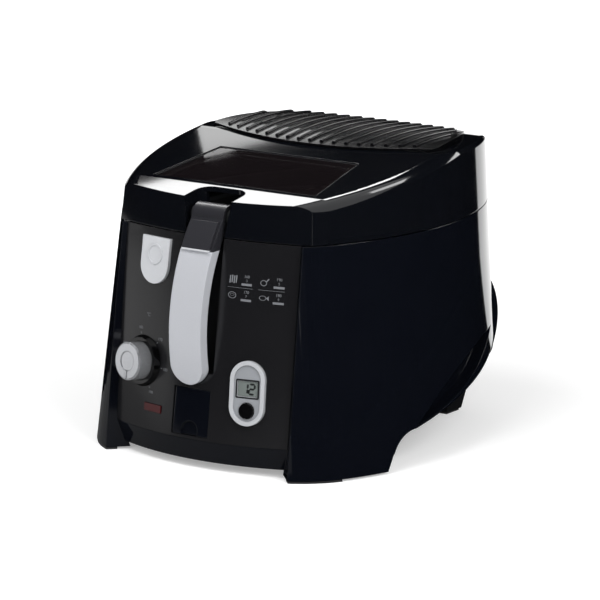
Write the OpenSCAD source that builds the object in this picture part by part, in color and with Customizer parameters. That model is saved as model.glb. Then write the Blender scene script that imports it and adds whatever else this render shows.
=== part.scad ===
// Deep fryer with a tilted bowl, a turning basket and a folding lift handle.
// +X right, -Y front, +Z up. The origin is the middle of the footprint on the table.

/* [Body] */
// Height of the seam between body and lid
seam_z = 187; // [170:1:210]
// Half width of the body at the seam
seam_half_w = 133; // [125:1:150]
// Radius of the curved sides, seen from above
side_r = 236; // [215:1:300]
// Distance from the front of the legs back to the widest line of the sides
side_mid_y = 165; // [150:1:180]
// Outward flare of the sides, in degrees
side_flare = 5.62; // [3:0.1:7]
// Forward rake of the sides, in degrees
side_rake = 3.73; // [2:0.1:5]
// Wall of the casing
wall = 2.6; // [2:0.1:3.5]
// Distance from the front of the legs to the back of the body
rear_y = 306; // [296:1:320]
// Radius of the bowed back, seen from above
rear_r = 400; // [300:10:600]
// Radius of the rear corners
corner_r = 22; // [12:1:30]
// Gap at the seam between body and lid
seam_gap = 0.8; // [0.6:0.1:1.5]

/* [Front] */
// Height of the crease at the foot of the front panel
crease_z = 25; // [20:1:35]
// Set-back of the front panel at the crease, behind the leg tips
crease_y = -1.5; // [-4:0.5:4]
// Backward lean of the front panel, in degrees
front_lean = 8.22; // [6:0.1:10]
// Radius of the front bow at the crease
bow_low_r = 220; // [200:5:260]
// Radius of the front bow at the seam
bow_high_r = 320; // [280:5:360]
// Thickness of the front panel
panel_t = 2.5; // [2:0.1:3.5]
// Half width across the leg tips
tip_x = 91.6; // [90:0.1:94]
// Set-back of the leading edges at the table
tip_y = 6.3; // [5.5:0.1:7]
// Half width across the leading edges at the seam
wing_x = 88.8; // [87:0.1:91]
// Set-back of the leading edges at the seam
wing_y = 31.1; // [29:0.1:33]
// Radius that rounds the sides into the leading edges
cheek_r = 80; // [60:1:100]
// Height of the lower edge of the front skirt
skirt_z = 7; // [5:1:12]

/* [Lid] */
// Height of the front edge of the lid
lid_front_z = 216; // [210:1:222]
// Slope of the lid top, in degrees
lid_slope = 9.5; // [7:0.5:12]
// Where the slope rolls over into the crowned back
crown_y = 165; // [155:1:175]
// Radius of the shoulder between sides and top
shoulder_r = 18; // [12:1:24]
// Wall of the lid
lid_wall = 2.4; // [2:0.1:3]
// Half width of the window at its front edge
window_front_w = 80; // [70:1:84]
// Half width of the window at its rear edge
window_rear_w = 69; // [60:1:76]
// Set-back of the front edge of the window
window_y0 = 62; // [60:1:70]
// Set-back of the rear edge of the window
window_y1 = 140; // [130:1:145]
// Half width of the ribbed filter cover
cover_w = 113; // [100:1:116]
// Number of ribs on the filter cover
cover_ribs = 17; // [11:2:21]

/* [Bowl and basket] */
// Forward tilt of the bowl, in degrees
bowl_tilt = 20; // [16:1:22]
// Inner radius of the bowl
bowl_r = 93; // [86:1:96]
// Wall of the bowl
bowl_wall = 1.5; // [1.2:0.1:2.5]
// Height of the middle of the bowl floor
bowl_floor_z = 92; // [90:1:100]
// Set-back of the middle of the bowl floor
bowl_floor_y = 195; // [190:1:200]
// Outer radius of the basket
basket_r = 82; // [70:1:84]
// Height of the basket wall
basket_h = 62; // [50:1:66]
// How far the basket lifts along its axis
basket_lift = 24; // [15:1:26]
// Slots round the basket
basket_slots = 24; // [16:1:32]

/* [Handle] */
// Width of the handle
handle_w = 31; // [26:1:33]
// Radius of the handle's curve
handle_r = 152; // [145:1:160]
// Thickness of the handle
handle_t = 9; // [7:0.5:11]
// Height of the lower tip of the handle
handle_tip_z = 69.5; // [68:0.5:80]
// Height of the handle's pivot
pivot_z = 201; // [198:1:203]
// Half width of the channel behind the handle
channel_w = 19; // [18:0.5:20]
// Depth of the channel behind the panel's face
channel_d = 14; // [10:1:18]

/* [Controls] */
// Middle of the temperature knob across the front
knob_x = -55.5; // [-58:0.5:-50]
// Height of the temperature knob
knob_z = 79; // [75:1:90]
// Diameter of the knob's cap
knob_d = 31; // [26:1:34]
// Middle of the lid button across the front
button_x = -48; // [-52:0.5:-46]
// Height of the top edge of the lid button
button_top_z = 180; // [176:0.5:181]
// Width of the lid button
button_w = 31; // [26:1:33]
// Height of the lid button
button_h = 38; // [34:1:42]
// Middle of the timer across the front
timer_x = 51; // [48:0.5:54]
// Middle of the timer above the table
timer_z = 67.5; // [64:0.5:72]
// Width of the timer's frame
timer_w = 30; // [26:1:34]
// Height of the timer's frame
timer_h = 52; // [46:1:58]

/* [Hidden] */
$fn = 96;
far = 700;
clear = 0.35;

// ---- front surface: a cone that is flatter at the top than at the foot ----
bow_rate = (bow_high_r - bow_low_r) / (seam_z - crease_z) * cos(front_lean) * cos(front_lean);
cone_half = atan(bow_rate);
cone_axis = cone_half + front_lean;
apex_drop = bow_low_r * cos(front_lean) / bow_rate;
apex = [0, crease_y - apex_drop * tan(front_lean), crease_z - apex_drop];
axis_y = sin(cone_axis);
axis_z = cos(cone_axis);
cone_c2 = pow(cos(cone_half), 2);
function cone_qa() = axis_y * axis_y - cone_c2;
function cone_qb(w) = 2 * w * axis_y * axis_z;
function cone_qc(x, w) = w * w * axis_z * axis_z - cone_c2 * (x * x + w * w);
function front_y(x, z) = let (w = z - apex[2], a = cone_qa(), b = cone_qb(w), c = cone_qc(x, w))
    apex[1] + (-b + sqrt(b * b - 4 * a * c)) / (2 * a);
function front_grad(x, z) = let (d = [x, front_y(x, z) - apex[1], z - apex[2]], k = d * [0, axis_y, axis_z])
    cone_c2 * d - k * [0, axis_y, axis_z];
function front_yaw(x, z) = let (n = front_grad(x, z)) atan2(n[0], -n[1]);
function front_tip(x, z) = let (n = front_grad(x, z)) asin(n[2] / norm(n));

// Places its children on the front surface: local -Y points out, local Z runs up the panel.
module on_front(x, z) {
    translate([x, front_y(x, z), z]) rotate([-front_tip(x, z), 0, front_yaw(x, z)]) children();
}
// Prism with a flat outline, from depth d behind the front surface to h in front of it.
module front_prism(x, z, d, h) {
    on_front(x, z) translate([0, d, 0]) rotate([90, 0, 0]) linear_extrude(d + h) children();
}

// Everything behind the front surface, t further in.
module front_cone(t) {
    run = far * 1.5;
    shift = t / sin(cone_half);
    translate(apex + shift * [0, axis_y, axis_z]) rotate([-cone_axis, 0, 0])
        cylinder(h = run, r1 = 0, r2 = run * tan(cone_half), $fn = 360);
}

// ---- sides: two leaning cylinders; corners and back lean with them ----
side_x = seam_half_w - side_r;
side_tilt = atan(norm([tan(side_flare), tan(side_rake)]));
side_turn = atan2(tan(side_rake), -tan(side_flare));
seam_point = [side_x, side_mid_y, seam_z];
module leaned() {
    translate(seam_point) rotate([0, side_tilt, side_turn]) rotate([0, 0, -side_turn])
        translate(-seam_point) children();
}
module both_sides() {
    intersection() {
        children();
        mirror([1, 0, 0]) children();
    }
}
// Middle of the corner rounding: where the inward offsets of side and back meet.
side_c = [side_x, side_mid_y];
rear_c = [0, rear_y - rear_r];
gap_c = norm(rear_c - side_c);
off_a = side_r - corner_r;
off_b = rear_r - corner_r;
along_c = (off_a * off_a - off_b * off_b + gap_c * gap_c) / (2 * gap_c);
up_c = sqrt(off_a * off_a - along_c * along_c);
dir_c = (rear_c - side_c) / gap_c;
corner_c = side_c + along_c * dir_c + up_c * [-dir_c[1], dir_c[0]];
turn_a = atan2(corner_c[1] - side_c[1], corner_c[0] - side_c[0]);
turn_b = atan2(corner_c[1] - rear_c[1], corner_c[0] - rear_c[0]);
function arc(c, r, a0, a1, n) = [for (i = [0:n]) let (a = a0 + (a1 - a0) * i / n) c + r * [cos(a), sin(a)]];
// The leading cheek is tangent to the side where the side has turned by cheek_a.
cheek_a = -28;
cheek_c = side_c + (side_r - cheek_r) * [cos(cheek_a), sin(cheek_a)];
cheek_bend = (turn_a - cheek_a) / 2;
module edge_outline(t) {
    cheek = arc(cheek_c, cheek_r - t, -68, cheek_a, 10);
    polygon(concat(
        [[-far, -far], [cheek[0][0], -far]],
        cheek,
        [side_c + (side_r - t) / cos(cheek_bend) * [cos(cheek_a + cheek_bend), sin(cheek_a + cheek_bend)]],
        arc(corner_c, corner_r - t, turn_a, turn_b, 10),
        arc(rear_c, rear_r - t, turn_b, 112, 12),
        [[-far, rear_c[1]]]));
}
module plan(t) {
    intersection() {
        both_sides() leaned() translate(seam_point - [0, 0, far / 2]) cylinder(r = side_r - t, h = far, $fn = 360);
        both_sides() leaned() translate([0, 0, -far / 2]) linear_extrude(far) edge_outline(t);
    }
}
module slab(z0, z1) translate([-far, -far, z0]) cube([2 * far, 2 * far, z1 - z0]);
// Extrudes an outline drawn in the Y-Z plane across the whole width w.
module across(w) translate([-w / 2, 0, 0]) rotate([90, 0, 90]) linear_extrude(w) children();

// ---- wings: bevels that run at 45 degrees from the leading edges to the panel ----
wing_k = (tip_x - wing_x + tip_y - wing_y) / seam_z;
wing_turn = -atan(wing_k / sqrt(2));
module wing(t) translate([tip_x, tip_y, 0]) rotate([0, wing_turn, 45])
    translate([t, -far, -far]) cube(2 * far);
module wings(t) {
    wing(t);
    mirror([1, 0, 0]) wing(t);
}
skirt_back = 5;
module skirt_cone(t) {
    k = skirt_back / (crease_z - skirt_z);
    translate([0, crease_y + bow_low_r, 0])
        cylinder(h = crease_z + 1, r1 = bow_low_r - crease_z * k - t, r2 = bow_low_r + k - t, $fn = 360);
}
// Front boundary of the casing: panel surface above the crease, skirt below it, wings beside them.
module front_form(t) {
    intersection() {
        front_cone(t);
        slab(crease_z + 0.3, far);
    }
    skirt_cone(t);
    wings(t);
}

// ---- underside: legs in front, a slope that rises to the back ----
foot_z = 2;
leg_y = 77;
arch_r = 27.6;
arch_c = [110, 4];
slope_k = 0.235;
function slope_z(y) = arch_c[1] + arch_r + slope_k * (y - arch_c[0]);
module under_outline(z) {
    difference() {
        polygon([[-60, z], [leg_y, z], [leg_y + 7, 15], [arch_c[0], 15], [arch_c[0], slope_z(arch_c[0])],
            [far, slope_z(far)], [far, far], [-60, far]]);
        translate(arch_c) circle(arch_r);
    }
}
body_top_z = seam_z - seam_gap / 2;
lid_bottom_z = seam_z + seam_gap / 2;

// ---- bowl axis and the levels that hang on it ----
deck_z = seam_z - 8;
deck_t = 2.4;
flange_z = deck_z + deck_t;
flange_t = 1.6;
flange_w = 7;
bowl_out = bowl_r + bowl_wall;
module bowl_frame() translate([0, bowl_floor_y, bowl_floor_z]) rotate([bowl_tilt, 0, 0]) children();
module bowl_post(r, z0, z1) bowl_frame() translate([0, 0, z0]) cylinder(r = r, h = z1 - z0);

// ---- lift handle ----
handle_mid_z = 108;
handle_c = [handle_r - 5.5, handle_mid_z];
pivot = [36, pivot_z];
knuckle_r = 10;
cheek_in = handle_w / 2 + 0.7;
cheek_t = 2.5;
tub_t = 2.2;
tub_low_z = handle_tip_z + 7;
notch_w = channel_w + 4.5;
notch_y = 53;
notch_r = 12;

// ---- drain bay under the handle ----
bay_top_z = handle_tip_z - 4;
bay_low_z = crease_z + 2.5;
bay_d = 42;
door_t = 2.4;
hose_r = 6;
hose_z = 50;

// ---- hinge and latch ----
hinge_r = 6;
hinge_pin_r = 2;
hinge_y = rear_y + 7.5;
hinge_z = seam_z + 2.5;
hinge_lid_w = 40;
hinge_body_w = 62;
latch_y = 36;
latch_pin_z = 128;
latch_w = 8;

// ---- bulge at the back ----
bulge_c = [269, 80];
bulge_r = 48;
bulge_w = 92;

// Outline of the finger grips, drawn in the Y-Z plane: a lens between two arcs.
grip_a = [112, 33.5];
grip_b = [260, 85];
grip_up = 15;
grip_low = 5;
grip_d = 11;
module bulged_circle(a, b, sag, t, sgn) {
    half = norm(b - a) / 2;
    r = (half * half + sag * sag) / (2 * sag);
    n = sgn * [-(b - a)[1], (b - a)[0]] / (2 * half);
    translate((a + b) / 2 - n * (r - sag)) circle(r + t);
}
module grip_outline(t) {
    intersection() {
        bulged_circle(grip_a, grip_b, grip_up, t, 1);
        bulged_circle(grip_a, grip_b, grip_low, t, -1);
    }
}
module grip_prisms(t) {
    for (s = [0, 1]) mirror([s, 0, 0])
        translate([seam_half_w / 2, 0, 0]) rotate([90, 0, 90]) linear_extrude(seam_half_w) grip_outline(t);
}

screw_spots = [[124, 60], [-124, 60], [109, 265], [-109, 265]];
screw_len = 16;
function plate_z(y) = y < 84 ? skirt_z : slope_z(y);

// Hinge barrel with the tab that joins it to the back of the lid (up = 1) or of the body (up = -1).
module knuckle(x0, x1, r, up) {
    translate([x0, hinge_y, hinge_z]) rotate([0, 90, 0]) cylinder(r = r, h = x1 - x0);
    y0 = up > 0 ? rear_y - 3.6 : rear_y - 8;
    y1 = up > 0 ? hinge_y : hinge_y + 2;
    z0 = up > 0 ? lid_bottom_z : body_top_z - 12;
    z1 = up > 0 ? lid_bottom_z + 8 : body_top_z;
    translate([x0, y0, z0]) cube([x1 - x0, y1 - y0, z1 - z0]);
}

module body_shell() color("#141519") difference() {
    union() {
        difference() {
            intersection() {
                plan(0);
                front_form(0);
                across(2 * far) under_outline(foot_z);
                slab(foot_z, body_top_z);
            }
            intersection() {
                plan(wall);
                union() {
                    intersection() {
                        front_cone(panel_t + 0.1);
                        slab(crease_z + 0.3, far);
                    }
                    skirt_cone(wall);
                    wings(wall);
                }
            }
            difference() {
                union() {
                    intersection() {
                        front_cone(-1);
                        slab(crease_z, far);
                    }
                    slab(-1, skirt_z);
                }
                wings(0);
            }
        }
        intersection() {
            plan(0.2);
            grip_prisms(wall);
            across(2 * far) under_outline(foot_z);
        }
        intersection() {
            for (p = screw_spots) translate([p[0], p[1], plate_z(p[1]) + 4.4]) cylinder(r = 5, h = 30);
            plan(0.2);
        }
        for (s = [0, 1]) mirror([s, 0, 0]) knuckle(hinge_lid_w + 1, hinge_body_w, hinge_r, -1);
    }
    difference() {
        grip_prisms(0);
        plan(grip_d);
    }
    intersection() {
        plan(grip_d + wall);
        grip_prisms(wall + 1);
    }
    intersection() {
        plan(wall);
        translate([-far, rear_y - 40, body_top_z - 20]) cube([2 * far, 40, 40]);
    }
    for (p = screw_spots) translate([p[0], p[1], 0]) cylinder(r = 1.55, h = plate_z(p[1]) + screw_len);
    hinge_bore();
}
module hinge_bore() translate([-far / 2, hinge_y, hinge_z]) rotate([0, 90, 0]) cylinder(r = hinge_pin_r + 0.05, h = far);

module base_plate() color("#26272a") difference() {
    intersection() {
        plan(wall + 0.1);
        union() {
            skirt_cone(wall + 0.1);
            wings(wall + 0.1);
        }
        across(2 * far) difference() {
            under_outline(skirt_z);
            translate([-1.5, 2.5]) under_outline(skirt_z);
        }
    }
    for (p = screw_spots) translate([p[0], p[1], 0]) cylinder(r = 1.8, h = 90);
    difference() {
        grip_prisms(wall + 0.4);
        plan(grip_d + wall + 0.4);
    }
    for (i = [-4:4]) translate([i * 9 - 1.5, 35, 0]) cube([3, 32, skirt_z + 5]);
}

module base_screws() color("silver") for (p = screw_spots)
    translate([p[0], p[1], plate_z(p[1]) - 2.85]) {
        cylinder(r = 3.5, h = 2);
        cylinder(r = 1.5, h = screw_len);
    }

rear_leg_x = 60;
rear_leg_w = 17;
module rear_legs() color("#1b1c1f") for (s = [0, 1]) mirror([s, 0, 0])
    translate([rear_leg_x, 0, 0]) rotate([90, 0, 90]) linear_extrude(rear_leg_w)
        difference() {
            polygon([[262, foot_z], [284, foot_z], [299, 30], [306, 56], [250, 56]]);
            translate(bulge_c) circle(bulge_r + 0.25);
        }

module foot_pads() color("#303236") {
    intersection() {
        difference() {
            plan(0.6);
            plan(9);
        }
        wings(0.6);
        slab(0, foot_z);
        translate([-far, -far, -1]) cube([2 * far, far + 38, far]);
    }
    for (s = [0, 1]) mirror([s, 0, 0]) translate([rear_leg_x + 1.5, 263.5, 0])
        cube([rear_leg_w - 3, 19, foot_z]);
}

// ---- front panel with its channel for the handle and the drain bay ----
module tub_prism(t, z0) translate([-channel_w - t, -30, z0])
    cube([2 * channel_w + 2 * t, 90, body_top_z - 0.2 - z0]);
module bay_prism(t) translate([-channel_w + 1 - t, -30, bay_low_z - t])
    cube([2 * channel_w - 2 + 2 * t, 30 + bay_d + crease_y + t, bay_top_z - bay_low_z + 2 * t]);

module button_shape(t) {
    low = button_h - button_w / 2;
    translate([-button_w / 2 - t, -low]) square([button_w + 2 * t, low + t]);
    translate([0, -low]) circle(button_w / 2 + t);
}
module stadium(w, h) {
    for (s = [-1, 1]) translate([0, s * (h - w) / 2]) circle(w / 2);
    square([w, h - w], center = true);
}
timer_in_w = timer_w - 7;
timer_in_h = timer_h - 7;
lamp_x = -40;
lamp_z = 43.5;
lamp_w = 19;
lamp_h = 6;

module front_panel() color("#0f1013") difference() {
    union() {
        difference() {
            intersection() {
                front_cone(0);
                slab(crease_z + 0.1, body_top_z - 0.2);
            }
            front_cone(panel_t);
            wings(-0.15);
        }
        intersection() {
            front_cone(0);
            tub_prism(tub_t, tub_low_z);
            difference() {
                slab(0, far);
                front_cone(channel_d + tub_t);
            }
        }
        intersection() {
            front_cone(0);
            bay_prism(tub_t);
        }
        for (s = [-1, 1]) translate([button_x + s * (latch_w / 2 + 2) - 1, 14, latch_pin_z - 6])
            intersection() {
                cube([2, latch_y - 10, 12]);
                translate([0, -14, -latch_pin_z + 6] - [button_x + s * (latch_w / 2 + 2) - 1, 0, 0]) front_cone(0.5);
            }
    }
    intersection() {
        difference() {
            tub_prism(0, tub_low_z + tub_t);
            front_cone(channel_d);
        }
        slab(0, far);
    }
    bay_prism(0);
    door_axis() cylinder(r = 1.06, h = bay_h + 20, center = true);
    translate([0, 0, hose_z]) rotate([-90, 0, 0]) cylinder(r = hose_r + clear, h = 80);
    front_prism(button_x, button_top_z, 12, 12) button_shape(clear);
    front_prism(timer_x, timer_z, 12, 12) stadium(timer_in_w + 0.4, timer_in_h + 0.4);
    front_prism(timer_x, timer_z, 1.2, 12) stadium(timer_w + 0.3, timer_h + 0.3);
    front_prism(knob_x, knob_z, 12, 12) circle(5.2);
    front_prism(knob_x, knob_z, 0.8, 12) circle(knob_d / 2 + 5.3);
    front_prism(lamp_x, lamp_z, 12, 12) square([lamp_w + 0.3, lamp_h + 0.3], center = true);
    translate([button_x - 12, latch_y, latch_pin_z]) rotate([0, 90, 0]) cylinder(r = 1.55, h = 24);
}

door_x = -channel_w + 3;
door_r = 1.65;
bay_mid_z = (bay_low_z + bay_top_z) / 2;
bay_h = bay_top_z - bay_low_z;
module door_axis() on_front(door_x, bay_mid_z) translate([0, door_r + 0.05, 0]) children();
module drain_door() color("#0f1013") {
    difference() {
        intersection() {
            front_cone(0);
            bay_prism(-clear);
            translate([door_x, -far, 0]) cube(2 * far);
        }
        front_cone(door_t);
        on_front(0, bay_low_z + 4) rotate([90, 0, 0]) cylinder(r = 8, h = 3, center = true);
    }
    door_axis() {
        cylinder(r = door_r, h = bay_h - 2.4, center = true);
        cylinder(r = 1, h = bay_h + 3, center = true);
    }
}

// ---- lid ----
crown_z = lid_front_z + (crown_y - 27) * tan(lid_slope);
crown_mid_y = 225;
crown_rise = 0.12;
crown_r = (crown_mid_y - crown_y) / sin(lid_slope);
crown_c = [crown_mid_y, crown_z - crown_r * cos(lid_slope) + crown_rise];
crown_top_z = crown_c[1] + crown_r;
module on_slope(t) translate([0, 27, lid_front_z]) rotate([lid_slope, 0, 0]) translate([0, 0, -t]) children();
module crown_disc(r) across(2 * far) translate(crown_c) circle(r, $fn = 360);
// Disc with a rounded upper edge, its top at z = 0.
module pill(r, edge, t) rotate_extrude($fn = 360) {
    translate([0, -far]) square([r - t, far - edge]);
    translate([0, -far]) square([r - edge, far - t]);
    translate([r - edge, -edge]) circle(edge - t);
}
module lid_top(t) {
    intersection() {
        on_slope(t) translate([-far, -far, -far]) cube([2 * far, 2 * far, far]);
        union() {
            translate([-far, crown_y - far, -far]) cube([2 * far, far, 2 * far]);
            crown_disc(crown_r - t);
        }
    }
}
// Keeps the right half of its children and mirrors it to the left.
module halves() for (s = [0, 1]) mirror([s, 0, 0]) intersection() {
    children();
    translate([0, -far, -far]) cube(2 * far);
}
module lid_form(t, z0 = lid_bottom_z) {
    intersection() {
        plan(t);
        front_cone(t);
        lid_top(t);
        halves() on_slope(0) translate([side_x - 2, 135, 0]) pill(side_r + 3.5, shoulder_r, t);
        halves() translate([side_x, side_mid_y, crown_top_z]) pill(side_r + 1.5, shoulder_r, t);
        translate([0, rear_c[1], crown_top_z - 3]) pill(rear_r + 0.5, shoulder_r + 2, t);
        slab(z0, far);
    }
}
// Notch that takes the handle: wide at the top, narrow at the seam, rounded at the back.
module notch(t) {
    low = channel_w + t;
    high = notch_w + t;
    intersection() {
        rotate([90, 0, 0]) linear_extrude(2 * far, center = true)
            polygon([[-low, 0], [low, 0], [low, seam_z], [high, lid_front_z], [high, far], [-high, far],
                [-high, lid_front_z], [-low, seam_z]]);
        linear_extrude(far) {
            translate([-far, -far]) square([2 * far, far + notch_y - notch_r]);
            translate([-high + notch_r, -far]) square([2 * (high - notch_r), far + notch_y + t]);
            for (s = [-1, 1]) translate([s * (high - notch_r), notch_y - notch_r]) circle(notch_r + t);
        }
    }
}
module window_outline(t) polygon([[-window_front_w - t, window_y0 - 27 - t], [window_front_w + t, window_y0 - 27 - t],
    [window_rear_w + t, window_y1 - 27 + t], [-window_rear_w - t, window_y1 - 27 + t]]);
module window_prism(t, d0, d1) on_slope(d1) linear_extrude(d1 - d0) window_outline(t);

// Footprint of the filter cover, seen from above.
cover_front_y = 163;
cover_front_r = 289;
module cover_outline(t) intersection() {
    translate([side_x, side_mid_y]) circle(side_r - (seam_half_w - cover_w) - t, $fn = 360);
    translate([-side_x, side_mid_y]) circle(side_r - (seam_half_w - cover_w) - t, $fn = 360);
    translate([0, cover_front_y + cover_front_r]) circle(cover_front_r - t, $fn = 360);
    translate([0, rear_c[1]]) circle(rear_r - 20 - t, $fn = 360);
    translate([0, 226]) circle(cover_w + 4 - t, $fn = 360);
}
ledge_z = seam_z + 1;
ledge_top = ledge_z + 3;

module lid_shell() color("#131417") difference() {
    union() {
        difference() {
            lid_form(0);
            difference() {
                lid_form(lid_wall, lid_bottom_z - 5);
                notch(lid_wall);
            }
        }
        intersection() {
            translate([button_x - 6, 0, ledge_z]) cube([12, 34, ledge_top - ledge_z]);
            front_cone(0.5);
        }
        knuckle(-hinge_lid_w, hinge_lid_w, hinge_r, 1);
    }
    notch(0);
    translate([-18.6, 40, 0]) cube([37.2, 20, lid_front_z]);
    window_prism(0, -8, 8);
    translate([0, 0, 200]) linear_extrude(far) cover_outline(8);
    hinge_bore();
}
glass_t = 2.4;
glass_d = 0.8;
module window_glass() color("#3a3d42", 0.6) window_prism(-1.2, glass_d, glass_d + glass_t);
module window_seal() color("#1c1d1f") difference() {
    window_prism(-0.1, glass_d, lid_wall);
    window_prism(-1.15, -8, 8);
}
module window_clamp() color("#202124") difference() {
    window_prism(5, lid_wall + 0.1, 5.4);
    window_prism(-6, -8, 8);
    window_prism(-1, -8, glass_d + glass_t + 0.1);
}
module lid_inner() color("#2a2b2e") difference() {
    intersection() {
        lid_form(lid_wall + 0.2);
        slab(lid_bottom_z + 0.2, lid_bottom_z + 2.2);
    }
    bowl_post(88, 40, 160);
    notch(lid_wall + 0.3);
    translate([-20, 30, 0]) cube([40, 50, far]);
    translate([button_x - 8, 0, 0]) cube([16, 46, far]);
    translate([-hinge_lid_w - 1, rear_y - 5, 0]) cube([2 * hinge_lid_w + 2, 30, far]);
}
module lid_seal() color("#5a5c60") intersection() {
    difference() {
        bowl_post(bowl_r + 3.5, 40, 160);
        bowl_post(bowl_r - 3, 39, 161);
    }
    slab(flange_z + flange_t + 0.4, lid_bottom_z + 0.15);
}
pad_z = crown_top_z - 26;
module filter_tray() color("#33353a") difference() {
    union() {
        translate([0, 0, pad_z - 2]) linear_extrude(crown_top_z - pad_z - 2.5) cover_outline(8.3);
    }
    translate([0, 0, pad_z]) linear_extrude(60) cover_outline(10.3);
    for (i = [-5:5]) translate([i * 14 - 4, 196, pad_z - 8]) cube([8, 68, 20]);
}
module filter_pad() color("#e8e4d8") translate([0, 0, pad_z + 0.1]) linear_extrude(9) cover_outline(10.8);

cover_gap = 0.5;
cover_t = 1.6;
rib_r = 1.6;
rib_up = 0.4;
rib_pitch = 2 * (cover_w - 6) / (cover_ribs + 1);
module crown_ring(r, x, a) translate([x, crown_c[0], 0]) rotate([0, 0, a]) translate([0, 0, crown_c[1]])
    rotate([0, -90, 0]) rotate([0, 0, -30]) rotate_extrude(angle = 60, $fn = 360)
        translate([crown_r + cover_gap + cover_t + rib_up, 0]) circle(r, $fn = 24);
module filter_cover() color("#17181b") {
    difference() {
        intersection() {
            translate([0, 0, 200]) linear_extrude(far) cover_outline(0);
            crown_disc(crown_r + cover_gap + cover_t);
        }
        crown_disc(crown_r + cover_gap);
        for (i = [0:cover_ribs - 2]) translate([(i - cover_ribs / 2 + 1) * rib_pitch - 1.4, 196, 200])
            cube([2.8, 66, 80]);
    }
    intersection() {
        translate([0, 0, 200]) linear_extrude(far) cover_outline(5);
        union() for (i = [0:cover_ribs - 1])
            crown_ring(rib_r, (i - (cover_ribs - 1) / 2) * rib_pitch, -(i - (cover_ribs - 1) / 2) * 0.35);
    }
}
module hinge_pin() color("silver") translate([-hinge_body_w - 1, hinge_y, hinge_z]) rotate([0, 90, 0])
    cylinder(r = hinge_pin_r, h = 2 * hinge_body_w + 2);

// ---- deck, bowl and drive ----
module top_deck() color("#1d1e21") difference() {
    intersection() {
        plan(wall + 0.1);
        front_cone(panel_t + 0.35);
        slab(deck_z, deck_z + deck_t);
    }
    bowl_post(bowl_out + 0.4, 20, 140);
    tub_prism(tub_t + 0.35, 20);
    translate([button_x - 18, 0, 0]) cube([36, 47, far]);
    for (s = [-1, 1]) rod_line(s) cylinder(r = 3.2, h = far, center = true);
}
rod_x = 14;
rod_y = 56;
module rod_line(s) translate([s * rod_x, rod_y, 183]) rotate([bowl_tilt, 0, 0]) children();
module bowl() color("#8d9196") difference() {
    union() {
        intersection() {
            difference() {
                bowl_frame() rotate_extrude() {
                    square([bowl_out - 10, 150]);
                    translate([0, 8.5]) square([bowl_out, 150]);
                    translate([bowl_out - 10, 8.5]) circle(10);
                    translate([0, -bowl_wall]) square([bowl_out - 10, 10]);
                }
                bowl_frame() rotate_extrude() {
                    translate([0, 8.5]) square([bowl_r, 170]);
                    square([bowl_r - 8.5, 10]);
                    translate([bowl_r - 8.5, 8.5]) circle(8.5);
                }
            }
            slab(0, flange_z + flange_t);
        }
        intersection() {
            difference() {
                bowl_post(bowl_out + flange_w, 20, 150);
                bowl_post(bowl_r + 0.5, 0, 170);
            }
            slab(flange_z, flange_z + flange_t);
        }
    }
    for (s = [-1, 1]) rod_line(s) cylinder(r = 3.2, h = 30, center = true);
    bowl_post(4.5, -8, 8);
}
module heating_element() color("#6b6a66") bowl_frame() translate([0, 0, -bowl_wall - 4.1])
    rotate_extrude(angle = 330) translate([70, 0]) circle(4);
shaft_r = 3;
module drive_shaft() color("#b9bcc0") bowl_frame() {
    translate([0, 0, -14]) cylinder(r = shaft_r, h = 24);
    translate([0, 0, 8.2]) cylinder(r = 7, h = 5, $fn = 6);
}
module shaft_seal() color("#2b2c2e") bowl_frame() difference() {
    translate([0, 0, -4]) {
        cylinder(r = 4.45, h = 8);
        cylinder(r = 9, h = 4 - bowl_wall - 0.05);
    }
    translate([0, 0, -10]) cylinder(r = shaft_r + 0.06, h = 40);
}
module gear_motor() color("#4a4d52") bowl_frame() difference() {
    union() {
        translate([0, 0, -28]) cylinder(r = 24, h = 17);
        translate([30, 0, -26]) cylinder(r = 14, h = 13);
        translate([0, -8, -24]) cube([30, 16, 9]);
    }
    translate([0, 0, -15]) cylinder(r = shaft_r + 0.06, h = 40);
}
module motor_bracket() color("#a9adb2") bowl_frame() difference() {
    for (a = [90, 210, 330]) rotate([0, 0, a]) {
        translate([12, -6, -10.9]) cube([38, 12, 1.5]);
        translate([47, -6, -10.9]) cube([3, 12, 9.3]);
    }
    translate([0, 0, -20]) cylinder(r = 10, h = 20);
}
module thermal_probe() color("#c08a4a") bowl_frame() rotate([0, 0, 45]) translate([40, -4, -bowl_wall - 8.1])
    cube([24, 8, 8]);
module drain_valve() color("#3a3c40") {
    difference() {
        bowl_frame() translate([0, -82, -24]) cylinder(r = 7, h = 24 - bowl_wall - 0.1);
        slab(0, hose_z - 4);
    }
    translate([0, 92.2, hose_z]) rotate([-90, 0, 0]) cylinder(r = 6.4, h = 31);
}
module drain_hose() color("#6f7276") difference() {
    translate([0, 14, hose_z]) rotate([-90, 0, 0]) cylinder(r = hose_r, h = 78);
    translate([0, 13, hose_z]) rotate([-90, 0, 0]) cylinder(r = hose_r - 1.5, h = 80);
}
module hose_cap() color("#26282b") difference() {
    translate([0, 9, hose_z]) rotate([-90, 0, 0]) {
        cylinder(r = hose_r + 2, h = 10);
    }
    translate([0, 12, hose_z]) rotate([-90, 0, 0]) cylinder(r = hose_r + 0.05, h = 10);
}

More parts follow.
